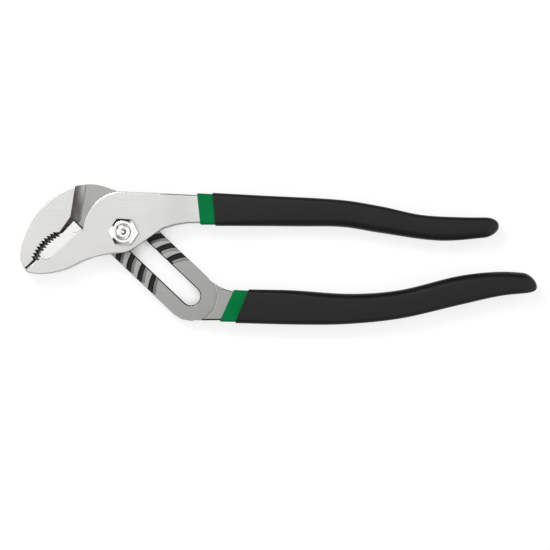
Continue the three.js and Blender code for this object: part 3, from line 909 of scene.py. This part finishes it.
@dataclass
class Handle:
    """A handle's bar, by its edges and faces. Sizes in millimetres, from its own origin."""

    origin: Point
    top: Sequence[Point]
    bottom: Sequence[Point]
    mouth: float
    mouth_slant: float
    slant_run: float
    tip: Point
    inner_side: Side
    back: float = 5.2
    front: float = 13.2
    outer_edge: float = 1.0
    inner_edge: float = 3.0
    tip_round: float = 7.0
    most_round: float = 0.9
    corner_steps: int = 8
    body_stations: int = 90
    tip_stations: int = 16
    last_tip_angle: float = 86

    @staticmethod
    def _height(points: Sequence[Point], x: float) -> float:
        """The height of a smooth curve through points."""
        slopes = []
        for i in range(len(points)):
            before, after = points[max(i - 1, 0)], points[min(i + 1, len(points) - 1)]
            slopes.append((after[1] - before[1]) / (after[0] - before[0]))
        i = sum(1 for passed in points[1:-1] if passed[0] <= x)
        (x0, y0), (x1, y1) = points[i], points[i + 1]
        run = x1 - x0
        t = (x - x0) / run
        ends = lerp(y0, y1, t * t * (3 - 2 * t))
        return ends + run * t * (1 - t) * (slopes[i] * (1 - t) - slopes[i + 1] * t)

    def _edge(self, points: Sequence[Point], x: float, outset: float) -> Vector:
        """A point on an edge, moved out square to it."""
        slope = self._height(points, x + 0.5) - self._height(points, x - 0.5)  # over a run of 1 mm
        return Vector((x, self._height(points, x) + outset * math.hypot(1, slope)))

    def ring(self, x: float, outset: float) -> list[Vector]:
        """The bar's cross-section at a place along it.

        Args:
            x: the place.
            outset: how far the section is grown on every side.

        Returns:
            The ring's points.
        """
        past = max(0.0, (x - (self.tip[0] - self.tip_round)) / (self.tip_round + outset))
        full = math.sqrt(max(0.0, 1 - past * past))
        grown = smoothstep(x, self.mouth, self.mouth + self.slant_run)
        slant = self.mouth_slant * (1 - grown)
        top = self._edge(self.top, x + slant / 2, outset)
        bottom = self._edge(self.bottom, x - slant / 2, -outset)
        centre = (top + bottom) / 2
        centre.y = lerp(centre.y, self.tip[1], past * past)
        up = (top - bottom) / 2
        half_width = up.length * full
        up.normalize()
        half_depth = ((self.front - self.back) / 2 + outset) * full
        level = (self.front + self.back) / 2
        ring = []
        for quarter in range(4):
            upper = quarter in (0, 3)
            inner = upper == (self.inner_side is Side.TOP)
            edge = lerp(self.outer_edge, self.inner_edge, grown) if inner else self.outer_edge
            corner = min((edge + outset) * full, self.most_round * half_depth, self.most_round * half_width)
            sideways = (1 if upper else -1) * (half_width - corner)
            deep = (1 if quarter < 2 else -1) * (half_depth - corner)
            for step in range(self.corner_steps + 1):
                angle = (quarter + step / self.corner_steps) * math.pi / 2
                across = sideways + corner * math.cos(angle)
                place = Vector(self.origin) + centre + up * across
                ring.append(Vector((place.x, place.y, level + deep + corner * math.sin(angle))))
        return ring

    def stations(self, mouth: float, outset: float) -> list[float]:
        """Places along the bar, from a mouth to the tip of a section that is grown by the outset."""
        round_from = self.tip[0] - self.tip_round
        body = list(np.linspace(mouth, round_from, self.body_stations)[:-1])
        reach = self.tip_round + outset
        angles = np.linspace(0, self.last_tip_angle, self.tip_stations)
        return body + [round_from + reach * math.sin(math.radians(a)) for a in angles]


@dataclass
class DippedGrip:
    """The two dips on a handle: a green under layer and a black outer one that leaves a collar bare."""

    handle: Handle
    name: str
    body: Body
    under_layer: float = 0.8
    outer_layer: float = 0.6
    layer_play: float = 0.1
    collar_length: float = 8.8
    lip_steps: int = 6

    def build_layer(self, name: str, mouth: float, inside: float, thickness: float) -> bpy.types.Object:
        """Makes one dip as a closed sock with a rounded lip.

        Args:
            name: the piece's name.
            mouth: where the dip starts along the handle.
            inside: the outset of its inner face.
            thickness: how thick it is.

        Returns:
            The piece.
        """
        half = thickness / 2
        lip = []
        for step in range(self.lip_steps + 1):
            angle = math.pi * step / self.lip_steps
            outset = inside + half * (1 - math.cos(angle))
            lip.append(self.handle.ring(mouth + half * (1 - math.sin(angle)), outset))
        inner = [self.handle.ring(x, inside) for x in self.handle.stations(mouth + thickness, inside)]
        outside = inside + thickness
        outer = [self.handle.ring(x, outside) for x in self.handle.stations(mouth + thickness, outside)]
        rings = [*reversed(inner), *lip, *outer]
        return add_object(name, mesh_of_rings(name, rings, False, GRIP_SHARP_ANGLE))

    def dress(self, green: bpy.types.Material, black: bpy.types.Material) -> None:
        """Builds both layers and gives them their finishes."""
        mouth = self.handle.mouth
        under = self.build_layer(f"{self.name}_green_dip", mouth, self.layer_play, self.under_layer)
        under.data.materials.append(green)
        install(under, f"{self.name}_under_layer", self.body)
        inside = self.under_layer + 2 * self.layer_play
        mouth += self.collar_length
        outer = self.build_layer(f"{self.name}_black_dip", mouth, inside, self.outer_layer)
        outer.data.materials.append(black)
        install(outer, f"{self.name}_outer_layer", self.body)


@dataclass
class Studio:
    """A pale floor, one large soft lamp, a graded sky and a camera that looks straight down.

    The floor's half width and the lamp's place and size are in metres, the other sizes in millimetres.
    """

    view_centre: Point = (87.3, -24.8)
    view_width: float = 319.0
    focus_level: float = 10.0
    camera_distance: float = 1300.0
    sensor: float = 36.0
    floor_half: float = 3.0
    floor_cells: int = 24
    floor_level: float = -0.05
    key_place: Triple = (-0.36, 0.6, 0.95)
    key_size: float = 0.35
    key_power: float = 8.0
    sky_top: float = 1.2
    sky_slant: Point = (-0.4, 0.8)
    sky_sides: float = 1.4
    sky_ends: float = 0.05
    sky_foot: float = 0.06
    top_span: Point = (0.78, 0.93)
    right_span: Point = (0.35, 0.75)
    left_span: Point = (-0.84, -0.94)
    foot_span: Point = (0.02, 0.3)
    fill_way: Point = (0.5, -0.87)
    fill_span: Point = (0.2, 0.9)
    fill_level: float = 0.6

    def build(self) -> None:
        """Makes the floor, the light and the camera."""
        self._floor()
        self._sky()
        self._key()
        self._camera()
        bpy.context.scene.view_settings.view_transform = "Standard"

    def _floor(self) -> None:
        """The pale floor that the tool lies on."""
        work = bmesh.new()
        cells = self.floor_cells
        bmesh.ops.create_grid(work, x_segments=cells, y_segments=cells, size=self.floor_half)
        bmesh.ops.translate(work, verts=work.verts, vec=(0, 0, self.floor_level * MM))
        mesh = bpy.data.meshes.new("studio_floor")
        work.to_mesh(mesh)
        work.free()
        mesh.materials.append(StudioFloor().material())
        add_object("studio_floor", mesh)

    def _sky(self) -> None:
        """A sky that is bright overhead and to both sides, and dark behind and in front of the tool."""
        world = bpy.data.worlds.new("studio_sky")
        bpy.context.scene.world = world
        world.use_nodes = True
        graph = Graph(world.node_tree)
        way = graph.node("ShaderNodeTexCoord", {}, {}, "Generated")
        x, y, z = (graph.node("ShaderNodeSeparateXYZ", {}, {0: way}, name) for name in "XYZ")
        never_zero = 0.0001
        reach = graph.node("ShaderNodeMath", {"operation": "SQRT"}, {0: x * x + y * y + never_zero})
        bearing = x / reach
        sideways = bearing.between(*self.right_span) + bearing.between(*self.left_span)
        fill = (x * self.fill_way[0] + y * self.fill_way[1]).between(*self.fill_span)
        ring = self.sky_ends + sideways * (self.sky_sides - self.sky_ends) + fill * self.fill_level
        foot = z.between(*self.foot_span)
        low = ring * foot + (1 - foot) * self.sky_foot
        top = z.between(*self.top_span)
        overhead = self.sky_top * (1 + x * self.sky_slant[0] + y * self.sky_slant[1])
        level = low * (1 - top) + top * overhead
        background = graph.node("ShaderNodeBackground", {}, {"Color": WHITE, "Strength": level})
        graph.end("ShaderNodeOutputWorld", background)

    def _key(self) -> None:
        """The large soft lamp above and behind the tool."""
        lamp = bpy.data.lights.new("key", "AREA")
        lamp.size = self.key_size
        lamp.energy = self.key_power
        key = add_object("key", lamp)
        key.location = self.key_place
        aim = Vector((*self.view_centre, 0)) * MM - key.location
        key.rotation_euler = aim.to_track_quat("-Z", "Y").to_euler()

    def _camera(self) -> None:
        """The camera, straight above the middle of the picture."""
        lens = bpy.data.cameras.new("camera")
        lens.sensor_width = self.sensor
        lens.lens = self.sensor * self.camera_distance / self.view_width
        camera = add_object("camera", lens)
        level = self.focus_level + self.camera_distance
        camera.location = Vector((*self.view_centre, level)) * MM
        bpy.context.scene.camera = camera


# The object


UPPER_REACH = 215.6
LOWER_REACH = 199.2
UPPER_HANDLE = Handle(
    origin=(0.0, 0.0),
    top=[
        (10, 23), (41.6, 21.7), (78.9, 19.7), (0.581 * UPPER_REACH, 17.1),
        (0.689 * UPPER_REACH, 13.4), (0.796 * UPPER_REACH, 8.5), (0.904 * UPPER_REACH, 7.1),
        (UPPER_REACH, 7),
    ],
    bottom=[
        (12, -2.5), (21.3, 1.5), (33, 4.8), (43.1, 5.3), (102, 5),
        (0.589 * UPPER_REACH, 4.6), (0.689 * UPPER_REACH, 1.2), (0.85 * UPPER_REACH, -3.3), (UPPER_REACH, -1),
    ],
    mouth=43.1,
    mouth_slant=-1.8,
    slant_run=60.0,
    tip=(UPPER_REACH, 3.6),
    inner_side=Side.BOTTOM,
)
LOWER_HANDLE = Handle(
    origin=(38.50, -36.99),
    top=[
        (-0.5, 19.5), (11, 9), (18, 4.7), (25, 2.7), (57.8, 1.8), (0.469 * LOWER_REACH, -0.3),
        (0.61 * LOWER_REACH, 1.9), (0.785 * LOWER_REACH, 10.2), (0.902 * LOWER_REACH, 12.5),
        (LOWER_REACH, 11.4),
    ],
    bottom=[
        (-0.5, -14), (7.5, -14.1), (20.5, -14), (63.5, -15), (0.459 * LOWER_REACH, -14.6),
        (0.61 * LOWER_REACH, -11.4), (0.785 * LOWER_REACH, -3.4), (0.902 * LOWER_REACH, 1.7),
        (LOWER_REACH, 3.6),
    ],
    mouth=20.9,
    mouth_slant=8.0,
    slant_run=75.0,
    tip=(LOWER_REACH, 5.4),
    inner_side=Side.TOP,
)


def main() -> None:
    """Builds the studio and every piece in order."""
    logging.basicConfig(level=logging.INFO, format="%(name)s: %(message)s")
    Studio().build()
    across, even = (1.0, 0.06, 1.0), (1.0, 1.0, 1.0)
    polish: dict[str, Any] = {"colour": (0.57, 0.565, 0.55), "roughness": 0.2, "stripe_depth": 0.035}
    finishes = {
        Zone.POLISHED: PlatedSteel("polished_nickel", **polish),
        # the blasted neck carries a painted highlight and painted shade along the arc where its recess ends
        Zone.BLASTED: PaintedArcLightSteel(
            "blasted_nickel", (0.29, 0.29, 0.28), 0.36, stripe_depth=0.03,
            arc_centre=LOWER_HANDLE.origin, arc_radius=15.2, arc_middle=SLOT_WAY,
        ),
        Zone.HOLLOW: MilledHollow("milled_hollow", (0.32, 0.315, 0.305), 0.36, across, stripe_depth=0.45),
        # painted shade: the grooves' floors, their chamfers and the walls of the teeth, slot and grooves are
        # coloured dark where shade falls
        Zone.GROOVE: PlatedSteel("groove_floor", (0.022, 0.022, 0.022), 0.36),
        Zone.CHAMFER: PlatedSteel("groove_chamfer", (0.13, 0.13, 0.125), 0.5),
        Zone.HARDENED: PlatedSteel("painted_wall_shade", (0.012, 0.012, 0.012), 0.45),
    }
    zones = {zone: finish.material() for zone, finish in finishes.items()}
    # a painted shade line, with a faint painted highlight, along the crease at the end of the lower jaw's
    # pocket
    pocketed = PaintedArcLightSteel(
        "polished_pocketed_nickel", **polish,
        arc_centre=(-28.3, 3.9), arc_radius=4.3, arc_middle=(0.5, -0.866), arc_from=1.9, arc_fade=1.0,
        light=0.15, shade=0.7,
    )
    bright = PlatedSteel("bright_nickel", (0.78, 0.77, 0.75), 0.12, even, 0.8 * MM).material()
    # a dark finish as painted shade on the nut's walls and on one side of the bolt's dimple
    dim_tone = PlatedSteel("painted_shade_nickel", (0.1, 0.1, 0.097), 0.3, even, 0.8 * MM).material()
    green = DippedVinyl("green_vinyl", (0.0006, 0.13, 0.035), 0.36, linear(60, 150, 100), 0.03).material()
    black = DippedVinyl("black_vinyl", (0.003, 0.003, 0.003), 0.4, linear(90, 90, 90), 0.24).material()

    edges = ((STEP_FOOT, STEP_TOP), (ToothRow().head, STEP_FOOT))
    grooved = ForgedHalf("upper_jaw_half", "grooved_half_forging", Body.GROOVED_HALF, edges)
    grooved.dress(grooved.build(), zones)
    tongued = ForgedHalf("lower_jaw_half", "tongue_half_forging", Body.TONGUE_HALF)
    tongued.dress(tongued.build(), {**zones, Zone.POLISHED: pocketed.material()})
    PivotFastener().dress(bright, dim_tone)
    DippedGrip(LOWER_HANDLE, "lower_grip", Body.GROOVED_HALF).dress(green, black)
    DippedGrip(UPPER_HANDLE, "upper_grip", Body.TONGUE_HALF).dress(green, black)


if __name__ == "__main__":
    main()
